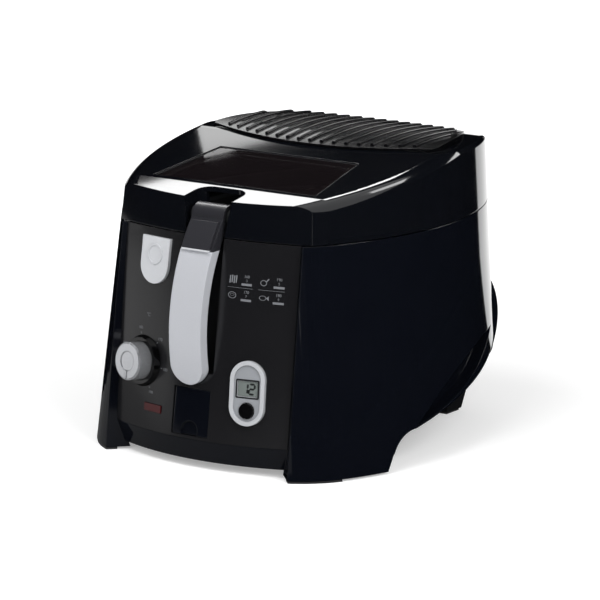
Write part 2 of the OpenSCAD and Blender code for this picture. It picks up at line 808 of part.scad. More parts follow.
// ---- basket and the carrier that lifts it ----
basket_z0 = 14;
basket_wall = 1.4;
module basket() color("#c9ccd0") bowl_frame() translate([0, 0, basket_z0]) difference() {
    union() {
        cylinder(r = basket_r - 1.2, h = basket_h);
        translate([0, 0, basket_h - 4]) cylinder(r = basket_r, h = 4);
        translate([0, 0, -2]) cylinder(r = 13, h = 4);
    }
    translate([0, 0, basket_wall]) cylinder(r = basket_r - 1.2 - basket_wall, h = basket_h);
    translate([0, 0, -3]) cylinder(r = 10, h = 3 + basket_wall + 1);
    for (i = [0:basket_slots - 1], row = [0, 1]) rotate([0, 0, (i + row / 2) * 360 / basket_slots])
        translate([basket_r - 8, -4, 8 + row * 25]) cube([12, 8, 20]);
    for (i = [0:11]) rotate([0, 0, i * 30]) translate([22, -2.5, -2]) cube([basket_r - 34, 5, 8]);
}
strap_r = 85.5;
module basket_carrier() color("#9da1a6") {
    translate([-18, 53.5, lid_bottom_z + 0.6]) cube([36, 17.5, 3.4]);
    for (s = [-1, 1]) rod_line(s) translate([0, 0, -31 - basket_lift]) cylinder(r = 2.5, h = 39 + basket_lift);
    bowl_frame() difference() {
        union() {
            intersection() {
                difference() {
                    translate([0, 0, 9]) cylinder(r = strap_r + 2, h = 127);
                    translate([0, 0, 8]) cylinder(r = strap_r, h = 130);
                }
                translate([-9, -100, 0]) cube([18, 60, 200]);
                bowl_frame_level(lid_bottom_z + 0.9);
            }
            translate([-7, -strap_r - 1, 9]) cube([14, strap_r - 9, 2]);
            translate([0, 0, 9]) cylinder(r = 14, h = 2);
        }
        translate([0, 0, 0]) cylinder(r = 10, h = 30);
    }
}
module bowl_frame_level(z) rotate([-bowl_tilt, 0, 0]) translate([0, -bowl_floor_y, -bowl_floor_z])
    translate([-far, -far, -far]) cube([2 * far, 2 * far, far + z]);
module rod_guides() color("#303236") intersection() {
    for (s = [-1, 1]) rod_line(s) difference() {
        translate([0, 0, -62]) cylinder(r = 4.4, h = 60);
        translate([0, 0, -63]) cylinder(r = 2.5 + 0.08, h = 70);
    }
    slab(0, deck_z - 0.1);
}

// ---- handle ----
module handle_side(r0, r1) intersection() {
    difference() {
        translate(handle_c) circle(r1, $fn = 192);
        translate(handle_c) circle(r0, $fn = 192);
    }
    translate([-20, 60]) square([70, pivot_z + 1 - 60]);
}
module handle_front(t) {
    r = handle_w / 2;
    rotate([90, 0, 0]) linear_extrude(200, center = true) {
        translate([0, handle_tip_z + r]) circle(r - t);
        translate([-r + t, handle_tip_z + r]) square([2 * (r - t), 200]);
    }
}
slide_top_z = 199;
slide_low_z = 177;
slide_w = 27;
module lift_handle() color("#c4c6ca") difference() {
    union() {
        intersection() {
            across(handle_w) handle_side(handle_r - handle_t, handle_r);
            handle_front(0);
            difference() {
                slab(0, far);
                intersection() {
                    front_cone(-1.2);
                    slab(0, tub_low_z + tub_t + 4);
                }
            }
        }
        translate([-handle_w / 2, pivot[0], pivot[1]]) rotate([0, 90, 0]) cylinder(r = knuckle_r, h = handle_w);
    }
    translate([-40, pivot[0], pivot[1]]) rotate([0, 90, 0]) cylinder(r = 2.05, h = 80);
    intersection() {
        translate([-4.35, 0, slide_low_z]) cube([8.7, 60, 20]);
        across(22) handle_side(handle_r - 3, handle_r + 4);
    }
}
module handle_slider() color("#101114") {
    intersection() {
        translate([-slide_w / 2, 0, slide_low_z]) cube([slide_w, 60, slide_top_z - slide_low_z]);
        across(slide_w) handle_side(handle_r + 0.3, handle_r + 2.2);
    }
    intersection() {
        translate([-4, 0, slide_low_z + 9]) cube([8, 60, 10]);
        across(8) handle_side(handle_r - 2.6, handle_r + 0.4);
    }
}
module handle_bracket() color("#2d2f33") difference() {
    union() {
        for (s = [-1, 1]) translate([s * (cheek_in + cheek_t / 2), 0, 0]) across(cheek_t) {
            translate(pivot) circle(7);
            polygon([[39.2, 181.5], [39.2, 187.5], [29.6, 198], [41.5, 205.3], [50, 192], [50, 181.5]]);
        }
        translate([-cheek_in - cheek_t + 0.2, 39.6, flange_z + 0.1]) cube([2 * (cheek_in + cheek_t) - 0.4, 10, 3]);
    }
    translate([-40, pivot[0], pivot[1]]) rotate([0, 90, 0]) cylinder(r = 2.02, h = 80);
}
module handle_pin() color("silver") translate([-cheek_in - cheek_t + 0.1, pivot[0], pivot[1]]) rotate([0, 90, 0])
    cylinder(r = 2, h = 2 * (cheek_in + cheek_t) - 0.2);

// ---- controls ----
ring_drop = 14;
module lid_button() color("#c4c6ca") on_front(button_x, button_top_z) {
    rotate([90, 0, 0]) {
        translate([0, 0, -6]) linear_extrude(8) button_shape(0);
        translate([0, -ring_drop, 0]) linear_extrude(2.6) difference() {
            circle(8.5);
            circle(6.8);
        }
    }
    translate([0, 5, -ring_drop]) rotate([-90, 0, 0]) cylinder(r = 4, h = 5.2);
}
module latch() color("#8a8d92") difference() {
    union() {
        translate([button_x - latch_w / 2, latch_y - 1.5, latch_pin_z]) cube([latch_w, 3, ledge_top + 4 - latch_pin_z]);
        translate([button_x - latch_w / 2, 31.2, ledge_top + 0.4]) cube([latch_w, 6.3, 3.6]);
        translate([button_x - latch_w / 2, latch_y, latch_pin_z]) rotate([0, 90, 0]) cylinder(r = 4, h = latch_w);
    }
    translate([button_x - 20, latch_y, latch_pin_z]) rotate([0, 90, 0]) cylinder(r = 1.56, h = 40);
}
module latch_pin() color("silver") translate([button_x - 11.5, latch_y, latch_pin_z]) rotate([0, 90, 0])
    cylinder(r = 1.5, h = 23);
module latch_spring() color("silver") for (i = [0:2])
    translate([button_x + 7.6 + i * 1.3, latch_y, latch_pin_z]) rotate([0, 90, 0])
        rotate_extrude() translate([2.3, 0]) circle(0.6, $fn = 16);

module temp_knob() color("#c4c6ca") on_front(knob_x, knob_z) rotate([90, 0, 0]) {
    translate([0, 0, 1.2]) cylinder(r = knob_d / 2, h = 14.8);
    translate([0, 0, 16]) difference() {
        cylinder(r = knob_d / 2 - 1, h = 1);
        translate([0, 0, 0.4]) cylinder(r = 8, h = 2);
    }
    translate([-1, -knob_d / 2 + 1, 16]) cube([2, 7, 1.6]);
    translate([0, 0, -9]) cylinder(r = 3, h = 12);
}
module knob_ring() color("#d9dbde") on_front(knob_x, knob_z) rotate([90, 0, 0]) difference() {
    translate([0, 0, -0.7]) cylinder(r1 = knob_d / 2 + 5.1, r2 = knob_d / 2 + 3.5, h = 5);
    translate([0, 0, -5]) cylinder(r = 5.2, h = 20);
    translate([0, 0, 0.8]) cylinder(r = knob_d / 2 + 0.5, h = 20);
}
module thermostat() color("#b3a98f") on_front(knob_x, knob_z) difference() {
    union() {
        translate([-14, panel_t + 0.8, -14]) cube([28, 12, 28]);
        translate([0, panel_t + 0.2, 0]) rotate([-90, 0, 0]) cylinder(r = 8, h = 4);
    }
    translate([0, -10, 0]) rotate([-90, 0, 0]) cylinder(r = 3.06, h = 21);
}
module timer_bezel() color("#c4c6ca") on_front(timer_x, timer_z) rotate([90, 0, 0]) difference() {
    union() {
        translate([0, 0, -1.1]) linear_extrude(4) stadium(timer_w, timer_h);
        translate([0, 0, -6]) linear_extrude(6) stadium(timer_in_w, timer_in_h);
    }
    translate([0, 0, 1.4]) linear_extrude(4) stadium(timer_in_w, timer_in_h);
    translate([0, 0, -10]) linear_extrude(20) translate([0, 3.5]) square([17.4, 12.4], center = true);
    translate([0, -14, -10]) cylinder(r = 6.6, h = 20);
}
module timer_lcd() color("#aab09a") on_front(timer_x, timer_z) rotate([90, 0, 0])
    translate([-8.5, -2.5, -5]) cube([17, 12, 6]);
module timer_button() color("#0d0d0f") on_front(timer_x, timer_z) rotate([90, 0, 0])
    translate([0, -14, -5]) cylinder(r = 6.2, h = 8.4);
module timer_board() color("#2f6b3c") on_front(timer_x, timer_z) rotate([90, 0, 0]) {
    translate([-11, -20, -8]) cube([22, 40, 1.6]);
}
module timer_battery() color("#d4d6d8") on_front(timer_x, timer_z) rotate([90, 0, 0])
    translate([0, 6, -11.6]) cylinder(r = 9, h = 3.4);
module lamp_lens() color("#7d1216") on_front(lamp_x, lamp_z) rotate([90, 0, 0]) translate([-lamp_w / 2, -lamp_h / 2, -5])
    cube([lamp_w, lamp_h, 5.8]);
module lamp_holder() color("#d8d2c4") on_front(lamp_x, lamp_z) rotate([90, 0, 0]) {
    translate([-lamp_w / 2 - 2, -lamp_h / 2 - 2, -9]) cube([lamp_w + 4, lamp_h + 4, 3.9]);
}

// ---- back ----
module bulge(r, w) translate([-w, bulge_c[0], bulge_c[1]]) rotate([0, 90, 0]) cylinder(r = r, h = 2 * w);
module rear_cover() color("#17181b") difference() {
    bulge(bulge_r, bulge_w);
    bulge(bulge_r - wall, bulge_w - wall);
    intersection() {
        plan(-0.15);
        across(2 * far) translate([0, -0.15]) under_outline(foot_z);
    }
    translate([0, 296, 57]) rotate([0, 90, 0]) cylinder(r = 7.05, h = 200);
}
module cord_bush() color("#1f2023") translate([bulge_w - wall - 1, 296, 57]) rotate([0, 90, 0]) difference() {
    union() {
        cylinder(r = 7, h = wall + 2);
        translate([0, 0, wall + 1.1]) cylinder(r = 9, h = 3);
    }
    translate([0, 0, -1]) cylinder(r = 3.6, h = 20);
}

mid_y = 156;
module placed() translate([0, -mid_y, 0]) children();
placed() body_shell();
placed() front_panel();
placed() base_plate();
placed() base_screws();
placed() rear_legs();
placed() foot_pads();
placed() rear_cover();
placed() cord_bush();
placed() top_deck();
placed() bowl();
placed() heating_element();
placed() thermal_probe();
placed() drive_shaft();
placed() shaft_seal();
placed() gear_motor();
placed() motor_bracket();
placed() drain_valve();
placed() drain_hose();
placed() hose_cap();
placed() drain_door();
placed() basket();
placed() basket_carrier();
placed() rod_guides();
placed() lift_handle();
placed() handle_slider();
placed() handle_bracket();
placed() handle_pin();
placed() lid_shell();
placed() window_glass();
placed() window_seal();
placed() window_clamp();
placed() lid_inner();
placed() lid_seal();
placed() filter_tray();
placed() filter_pad();
placed() filter_cover();
placed() hinge_pin();
placed() lid_button();
placed() latch();
placed() latch_pin();
placed() latch_spring();
placed() temp_knob();
placed() knob_ring();
placed() thermostat();
placed() timer_bezel();
placed() timer_lcd();
placed() timer_button();
placed() timer_board();
placed() timer_battery();
placed() lamp_lens();
placed() lamp_holder();
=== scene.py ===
import math

import bmesh
import bpy
import numpy as np
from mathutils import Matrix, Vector


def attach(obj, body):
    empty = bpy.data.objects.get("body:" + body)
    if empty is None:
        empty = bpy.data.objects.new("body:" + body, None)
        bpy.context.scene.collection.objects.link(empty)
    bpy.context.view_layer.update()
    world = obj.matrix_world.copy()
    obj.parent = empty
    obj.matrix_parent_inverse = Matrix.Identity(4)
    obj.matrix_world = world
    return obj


# Deep fryer: gloss black casing, satin silver controls, smoked window, ribbed filter cover.
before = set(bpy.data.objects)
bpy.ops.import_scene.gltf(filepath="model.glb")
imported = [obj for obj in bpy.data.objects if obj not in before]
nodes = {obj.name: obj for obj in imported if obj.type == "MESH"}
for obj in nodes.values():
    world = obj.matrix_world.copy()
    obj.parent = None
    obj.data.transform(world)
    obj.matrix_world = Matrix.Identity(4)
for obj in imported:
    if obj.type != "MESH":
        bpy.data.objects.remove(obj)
bpy.context.view_layer.update()
scene = bpy.context.scene
print("frame loaded,", len(nodes), "nodes")

mm = 0.001


# camera
cameraSetup = {"place": (1.6922, -2.4184, 0.7800), "back": (0.5593, -0.7988, 0.2215), "lens": 219.0, "sensor": 36.0}

camera = bpy.data.objects.new("camera", bpy.data.cameras.new("camera"))
scene.collection.objects.link(camera)
camera.data.lens = cameraSetup["lens"]
camera.data.sensor_width = cameraSetup["sensor"]
camera.data.clip_start, camera.data.clip_end = 0.05, 60
camera.location = cameraSetup["place"]
camera.rotation_mode = "QUATERNION"
camera.rotation_quaternion = (-Vector(cameraSetup["back"])).to_track_quat("-Z", "Y")
scene.camera = camera
scene.view_settings.view_transform = "Standard"
print("camera ready")


# small helpers
def linearColour(code):
    # sRGB hex to linear: the power curve above 0.04045, the straight foot below it
    steps = np.array([int(code[i:i + 2], 16) for i in (1, 3, 5)]) / 255
    linear = np.where(steps <= 0.04045, steps / 12.92, ((steps + 0.055) / 1.055) ** 2.4)
    return (*linear.tolist(), 1.0)


def addNode(tree, kind, settings=None, **sockets):
    # adds one node, sets its properties, then fills or links its inputs by name or number
    made = tree.nodes.new(kind)
    for name, value in (settings or {}).items():
        setattr(made, name, value)
    for name, value in sockets.items():
        numbered = name[0] == "n" and name[1:].isdigit()
        socket = made.inputs[int(name[1:])] if numbered else made.inputs[name.replace("_", " ")]
        if isinstance(value, bpy.types.NodeSocket):
            tree.links.new(value, socket)
        else:
            socket.default_value = value
    return made


def emptyMaterial(name):
    made = bpy.data.materials.new(name)
    made.use_nodes = True
    made.node_tree.nodes.clear()
    return made, made.node_tree


def closeMaterial(tree, surface):
    addNode(tree, "ShaderNodeOutputMaterial", None, Surface=surface)


def meshPiece(name, body, slot, material, points, faces, smooth=True):
    mesh = bpy.data.meshes.new(name)
    mesh.from_pydata(np.asarray(points, float).tolist(), [], [list(map(int, f)) for f in faces])
    mesh.update()
    if smooth:
        mesh.shade_smooth()
    piece = bpy.data.objects.new(name, mesh)
    scene.collection.objects.link(piece)
    mesh.materials.append(material)
    if body:
        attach(piece, body)
    return piece


def joinShapes(shapes):
    # stacks (points, faces) pairs into one mesh
    points, faces, start = [], [], 0
    for p, f in shapes:
        p = np.asarray(p, float)
        points.append(p)
        faces += [[int(i) + start for i in face] for face in f]
        start += len(p)
    return np.concatenate(points), faces


# finishes
def mouldedPlastic(name, colour, roughness, edge=0.4, grain=0.6, depth=0.004, uneven=0.02, tone=0.08, coat=0.0):
    # injection moulded plastic: the mould's polish or spark texture shows as a faint grain,
    # edges carry a small radius that catches the light; sizes in millimetres
    material, tree = emptyMaterial(name)
    place = addNode(tree, "ShaderNodeTexCoord").outputs["Object"]
    broad = addNode(tree, "ShaderNodeTexNoise", None, Vector=place, Scale=1 / (35 * mm), Detail=3.0)
    fine = addNode(tree, "ShaderNodeTexNoise", None, Vector=place, Scale=1 / (grain * mm), Detail=2.0)
    base = linearColour(colour)
    dark = tuple(c * (1 - tone) for c in base[:3]) + (1.0,)
    pale = tuple(min(c * (1 + tone) + 0.0004, 1) for c in base[:3]) + (1.0,)
    shade = addNode(tree, "ShaderNodeMix", {"data_type": "RGBA"}, n0=broad.outputs["Fac"], n6=dark, n7=pale)
    rough = addNode(tree, "ShaderNodeMapRange", None, Value=broad.outputs["Fac"], To_Min=roughness - uneven,
                    To_Max=roughness + uneven)
    rounded = addNode(tree, "ShaderNodeBevel", {"samples": 6}, Radius=edge * mm)
    bump = addNode(tree, "ShaderNodeBump", None, Strength=1.0, Distance=depth * mm, Height=fine.outputs["Fac"],
                   Normal=rounded.outputs["Normal"])
    skin = addNode(tree, "ShaderNodeBsdfPrincipled", None, Base_Color=shade.outputs["Result"],
                   Roughness=rough.outputs["Result"], IOR=1.5, Normal=bump.outputs["Normal"])
    skin.inputs["Coat Weight"].default_value = coat
    closeMaterial(tree, skin.outputs["BSDF"])
    return material


def plainMetal(name, colour, roughness, edge=0.3, brush=0.25, depth=0.003, metallic=1.0, tone=0.06, stretch=(1, 1, 1)):
    # rolled, drawn or metal-painted skin: fine streaks or flakes break the reflection up; sizes in millimetres
    material, tree = emptyMaterial(name)
    place = addNode(tree, "ShaderNodeTexCoord").outputs["Object"]
    turned = addNode(tree, "ShaderNodeMapping", None, Vector=place, Scale=stretch)
    streak = addNode(tree, "ShaderNodeTexNoise", None, Vector=turned.outputs["Vector"],
                     Scale=1 / (brush * mm), Detail=3.0)
    broad = addNode(tree, "ShaderNodeTexNoise", None, Vector=place, Scale=1 / (18 * mm), Detail=2.0)
    base = linearColour(colour)
    dark = tuple(c * (1 - tone) for c in base[:3]) + (1.0,)
    pale = tuple(min(c * (1 + tone), 1) for c in base[:3]) + (1.0,)
    shade = addNode(tree, "ShaderNodeMix", {"data_type": "RGBA"}, n0=streak.outputs["Fac"], n6=dark, n7=pale)
    rough = addNode(tree, "ShaderNodeMapRange", None, Value=broad.outputs["Fac"], To_Min=roughness - 0.03,
                    To_Max=roughness + 0.03)
    rounded = addNode(tree, "ShaderNodeBevel", {"samples": 6}, Radius=edge * mm)
    bump = addNode(tree, "ShaderNodeBump", None, Strength=1.0, Distance=depth * mm, Height=streak.outputs["Fac"],
                   Normal=rounded.outputs["Normal"])
    skin = addNode(tree, "ShaderNodeBsdfPrincipled", None, Base_Color=shade.outputs["Result"], Metallic=metallic,
                   Roughness=rough.outputs["Result"], Normal=bump.outputs["Normal"])
    closeMaterial(tree, skin.outputs["BSDF"])
    return material


lidFinish = {"colour": "#080A0F", "roughness": 0.07, "browBack": -99.5, "browTilt": 0.17}


def polishedLid():
    # high-gloss ABS; ahead of the window the lid's brow leans forward a little, between two soft lines across it
    material, tree = emptyMaterial("polishedLidAbs")
    place = addNode(tree, "ShaderNodeTexCoord").outputs["Object"]
    parts = addNode(tree, "ShaderNodeSeparateXYZ", None, Vector=place)
    normal = addNode(tree, "ShaderNodeNewGeometry").outputs["Normal"]
    facing = addNode(tree, "ShaderNodeSeparateXYZ", None, Vector=normal)
    onTop = addNode(tree, "ShaderNodeMath", {"operation": "GREATER_THAN"}, n0=facing.outputs["Z"], n1=0.93)
    ahead = addNode(tree, "ShaderNodeMapRange", None, Value=parts.outputs["Y"], From_Min=lidFinish["browBack"] * mm,
                    From_Max=(lidFinish["browBack"] - 0.8) * mm)
    mask = addNode(tree, "ShaderNodeMath", {"operation": "MULTIPLY"}, n0=onTop.outputs[0], n1=ahead.outputs["Result"])
    lean = addNode(tree, "ShaderNodeMath", {"operation": "MULTIPLY"}, n0=mask.outputs[0], n1=-lidFinish["browTilt"])
    push = addNode(tree, "ShaderNodeCombineXYZ", None, Y=lean.outputs[0])
    rounded = addNode(tree, "ShaderNodeBevel", {"samples": 6}, Radius=0.9 * mm)
    tilted = addNode(tree, "ShaderNodeVectorMath", {"operation": "ADD"}, n0=rounded.outputs["Normal"],
                     n1=push.outputs["Vector"])
    unit = addNode(tree, "ShaderNodeVectorMath", {"operation": "NORMALIZE"}, n0=tilted.outputs["Vector"])
    fine = addNode(tree, "ShaderNodeTexNoise", None, Vector=place, Scale=1 / (6 * mm), Detail=1.0)
    bump = addNode(tree, "ShaderNodeBump", None, Strength=1.0, Distance=0.004 * mm, Height=fine.outputs["Fac"],
                   Normal=unit.outputs["Vector"])
    broad = addNode(tree, "ShaderNodeTexNoise", None, Vector=place, Scale=1 / (35 * mm), Detail=3.0)
    rough = addNode(tree, "ShaderNodeMapRange", None, Value=broad.outputs["Fac"], To_Min=lidFinish["roughness"] - 0.02,
                    To_Max=lidFinish["roughness"] + 0.02)
    shade = addNode(tree, "ShaderNodeMix", {"data_type": "RGBA"}, n0=broad.outputs["Fac"],
                    n6=linearColour(lidFinish["colour"]), n7=linearColour("#0B0C0F"))
    skin = addNode(tree, "ShaderNodeBsdfPrincipled", None, Base_Color=shade.outputs["Result"],
                   Roughness=rough.outputs["Result"], IOR=1.5, Normal=bump.outputs["Normal"])
    closeMaterial(tree, skin.outputs["BSDF"])
    return material


def twoTonePaintAndLipHighlight(name, below, above, joinHeight, metalBelow, edge=1.2):
    # satin paint over ABS up to joinHeight (mm), bare satin plastic above it; flakes 0.5 mm apart break the paint up.
    # On the slider the pale band below joinHeight is a painted highlight along its lower lip.
    material, tree = emptyMaterial(name)
    place = addNode(tree, "ShaderNodeTexCoord").outputs["Object"]
    height = addNode(tree, "ShaderNodeSeparateXYZ", None, Vector=place)
    head = addNode(tree, "ShaderNodeMath", {"operation": "GREATER_THAN"}, n0=height.outputs["Z"], n1=joinHeight * mm)
    flake = addNode(tree, "ShaderNodeTexNoise", None, Vector=place, Scale=1 / (0.5 * mm), Detail=2.0)
    base = linearColour(below)
    paint = addNode(tree, "ShaderNodeMix", {"data_type": "RGBA"}, n0=flake.outputs["Fac"],
                    n6=tuple(c * 0.93 for c in base[:3]) + (1.0,),
                    n7=tuple(min(c * 1.07, 1) for c in base[:3]) + (1.0,))
    shade = addNode(tree, "ShaderNodeMix", {"data_type": "RGBA"}, n0=head.outputs[0], n6=paint.outputs["Result"],
                    n7=linearColour(above))
    metal = addNode(tree, "ShaderNodeMapRange", None, Value=head.outputs[0], To_Min=metalBelow, To_Max=0.0)
    rough = addNode(tree, "ShaderNodeMapRange", None, Value=head.outputs[0], To_Min=0.36, To_Max=0.28)
    rounded = addNode(tree, "ShaderNodeBevel", {"samples": 8}, Radius=edge * mm)
    bump = addNode(tree, "ShaderNodeBump", None, Strength=1.0, Distance=0.002 * mm, Height=flake.outputs["Fac"],
                   Normal=rounded.outputs["Normal"])
    skin = addNode(tree, "ShaderNodeBsdfPrincipled", None, Base_Color=shade.outputs["Result"],
                   Metallic=metal.outputs["Result"], Roughness=rough.outputs["Result"], Normal=bump.outputs["Normal"])
    closeMaterial(tree, skin.outputs["BSDF"])
    return material


def smokedGlass():
    # tempered glass 2.4 mm thick, smoked brown-grey; a share of the light goes straight through to the basket
    material, tree = emptyMaterial("smokedTemperedGlass")
    place = addNode(tree, "ShaderNodeTexCoord").outputs["Object"]
    haze = addNode(tree, "ShaderNodeTexNoise", None, Vector=place, Scale=1 / (30 * mm), Detail=3.0)
    rough = addNode(tree, "ShaderNodeMapRange", None, Value=haze.outputs["Fac"], To_Min=0.01, To_Max=0.05)
    shade = addNode(tree, "ShaderNodeMix", {"data_type": "RGBA"}, n0=haze.outputs["Fac"],
                    n6=linearColour("#171315"), n7=linearColour("#1D181A"))
    skin = addNode(tree, "ShaderNodeBsdfPrincipled", None, Base_Color=shade.outputs["Result"],
                   Roughness=rough.outputs["Result"], IOR=1.52, Alpha=0.6)
    closeMaterial(tree, skin.outputs["BSDF"])
    return material


def needledFelt():
    # needled polyester felt: crossing fibres about 0.3 mm apart, drawn as stretched noise
    material, tree = emptyMaterial("needledPolyesterFelt")
    place = addNode(tree, "ShaderNodeTexCoord").outputs["Object"]
    along = addNode(tree, "ShaderNodeMapping", None, Vector=place, Scale=(1.0, 0.15, 1.0))
    across = addNode(tree, "ShaderNodeMapping", None, Vector=place, Scale=(0.15, 1.0, 1.0))
    warp = addNode(tree, "ShaderNodeTexNoise", None, Vector=along.outputs["Vector"], Scale=1 / (0.3 * mm), Detail=4.0)
    weft = addNode(tree, "ShaderNodeTexNoise", None, Vector=across.outputs["Vector"], Scale=1 / (0.3 * mm), Detail=4.0)
    both = addNode(tree, "ShaderNodeMath", {"operation": "ADD"}, n0=warp.outputs["Fac"], n1=weft.outputs["Fac"])
    shade = addNode(tree, "ShaderNodeMix", {"data_type": "RGBA"}, n0=warp.outputs["Fac"], n6=linearColour("#C9C3B2"),
                    n7=linearColour("#E9E4D6"))
    bump = addNode(tree, "ShaderNodeBump", None, Strength=1.0, Distance=0.2 * mm, Height=both.outputs[0])
    skin = addNode(tree, "ShaderNodeBsdfPrincipled", None, Base_Color=shade.outputs["Result"], Roughness=0.95,
                   Sheen_Weight=0.3, Normal=bump.outputs["Normal"])
    closeMaterial(tree, skin.outputs["BSDF"])
    return material


def tintedLens(name, colour, roughness=0.12):
    # clear tinted polycarbonate over a lamp: diffusing ribs on the inside show as soft bands 1.2 mm apart
    material, tree = emptyMaterial(name)
    place = addNode(tree, "ShaderNodeTexCoord").outputs["Object"]
    ribs = addNode(tree, "ShaderNodeTexWave", {"bands_direction": "X"}, Vector=place,
                   Scale=0.314 / (1.2 * mm), Distortion=0.0)
    base = linearColour(colour)
    shade = addNode(tree, "ShaderNodeMix", {"data_type": "RGBA"}, n0=ribs.outputs["Fac"],
                    n6=tuple(c * 0.6 for c in base[:3]) + (1.0,), n7=base)
    skin = addNode(tree, "ShaderNodeBsdfPrincipled", None, Base_Color=shade.outputs["Result"], Roughness=roughness,
                   IOR=1.58)
    closeMaterial(tree, skin.outputs["BSDF"])
    return material


def circuitBoard():
    # glass-epoxy board under solder mask: copper tracks show through as paler lanes 1.5 mm apart
    material, tree = emptyMaterial("solderMaskedBoard")
    place = addNode(tree, "ShaderNodeTexCoord").outputs["Object"]
    tracks = addNode(tree, "ShaderNodeTexBrick", None, Vector=place, Scale=1 / (6 * mm), Mortar_Size=0.03)
    tracks.inputs["Color1"].default_value = linearColour("#1D5A31")
    tracks.inputs["Color2"].default_value = linearColour("#23683A")
    tracks.inputs["Mortar"].default_value = linearColour("#4A9460")
    skin = addNode(tree, "ShaderNodeBsdfPrincipled", None, Base_Color=tracks.outputs["Color"], Roughness=0.35)
    closeMaterial(tree, skin.outputs["BSDF"])
    return material


def scaledCoil(name, dark, pale, roughness):
    # steel that has been hot: straw and grey scale in patches about 8 mm wide
    material, tree = emptyMaterial(name)
    place = addNode(tree, "ShaderNodeTexCoord").outputs["Object"]
    scale = addNode(tree, "ShaderNodeTexNoise", None, Vector=place, Scale=1 / (8 * mm), Detail=5.0)
    shade = addNode(tree, "ShaderNodeMix", {"data_type": "RGBA"}, n0=scale.outputs["Fac"],
                    n6=linearColour(dark), n7=linearColour(pale))
    bump = addNode(tree, "ShaderNodeBump", None, Strength=1.0, Distance=0.02 * mm, Height=scale.outputs["Fac"])
    skin = addNode(tree, "ShaderNodeBsdfPrincipled", None, Base_Color=shade.outputs["Result"], Metallic=1.0,
                   Roughness=roughness, Normal=bump.outputs["Normal"])
    closeMaterial(tree, skin.outputs["BSDF"])
    return material


finishes = {
    "casing": mouldedPlastic("polishedCasingAbs", "#080A10", 0.07, edge=0.9, grain=6, depth=0.004),
    "lid": polishedLid(),
    "panel": mouldedPlastic("polishedPanelAbs", "#161618", 0.2, edge=0.5, grain=5, depth=0.004),
    "cover": mouldedPlastic("satinCoverAbs", "#0A0A0C", 0.2, edge=0.5, grain=0.9, depth=0.006),
    "inner": mouldedPlastic("sparkTexturedPlastic", "#1A1B1D", 0.5, edge=0.3, grain=0.7, depth=0.03),
    "base": mouldedPlastic("sparkTexturedBase", "#141517", 0.45, edge=0.4, grain=0.8, depth=0.03),
    "rubber": mouldedPlastic("mouldedRubber", "#1B1B1D", 0.75, edge=0.5, grain=0.5, depth=0.02),
    "silicone": mouldedPlastic("greySilicone", "#4A4B4E", 0.55, edge=0.4, grain=0.8, depth=0.01),
    "hose": mouldedPlastic("greyHoseRubber", "#5A5C5F", 0.5, edge=0.3, grain=1.0, depth=0.01),
    # on the slider, the pale band below 178.4 mm is a painted highlight for the light along its lower lip
    "slider": twoTonePaintAndLipHighlight("satinSliderAbs", "#D4D6DA", "#2B2B2F", 178.4, 0.3, edge=0.7),
    # the knob ring's gloss black also paints the shadow gap round the knob
    "ringBlackAndShade": mouldedPlastic("polishedRingAbs", "#060607", 0.1, edge=0.4, grain=4, depth=0.003),
    "key": mouldedPlastic("polishedKeyAbs", "#070708", 0.1, edge=0.8, grain=4, depth=0.003),
    "handle": twoTonePaintAndLipHighlight("satinSilverHandlePaint", "#D3D5DB", "#27272B", 177.0, 0.38),
    "silver": plainMetal("satinSilverPaint", "#D2D4D8", 0.36, edge=0.7, brush=0.5, depth=0.002, metallic=0.25),
    "knob": plainMetal("brightKnobPlating", "#CDCFD3", 0.2, edge=0.8, brush=0.6, depth=0.002, metallic=0.8),
    "bezel": plainMetal("satinBezelPaint", "#CBCDD1", 0.3, edge=0.6, brush=0.5, depth=0.002, metallic=0.35),
    "steel": plainMetal("drawnStainless", "#B9B8B5", 0.25, stretch=(0.1, 1, 1)),
    "wire": plainMetal("chromedWire", "#C8C9CB", 0.14, brush=0.4),
    "zinc": plainMetal("zincPlatedSteel", "#A9ABAE", 0.38, brush=0.9, depth=0.006),
    "brass": plainMetal("turnedBrass", "#A88A4E", 0.3, stretch=(1, 1, 0.1)),
    "motor": plainMetal("motorCan", "#6E7276", 0.42, brush=0.8, depth=0.006),
    "bowlCoat": mouldedPlastic("nonStickCoating", "#3A3B3E", 0.32, edge=0.4, grain=1.1, depth=0.01, tone=0.25),
    "element": scaledCoil("heatedElementSteel", "#4B443D", "#7E766A", 0.45),
    "glass": smokedGlass(),
    "felt": needledFelt(),
    "ceramic": mouldedPlastic("mouldedPhenolic", "#B5A88E", 0.5, edge=0.3, grain=0.8, depth=0.01),
    "lcd": mouldedPlastic("displayGlass", "#676D6B", 0.14, edge=0.2, grain=3, depth=0.001, coat=0.3),
    "board": circuitBoard(),
    "lamp": tintedLens("redLensPolycarbonate", "#420509", 0.25),
}

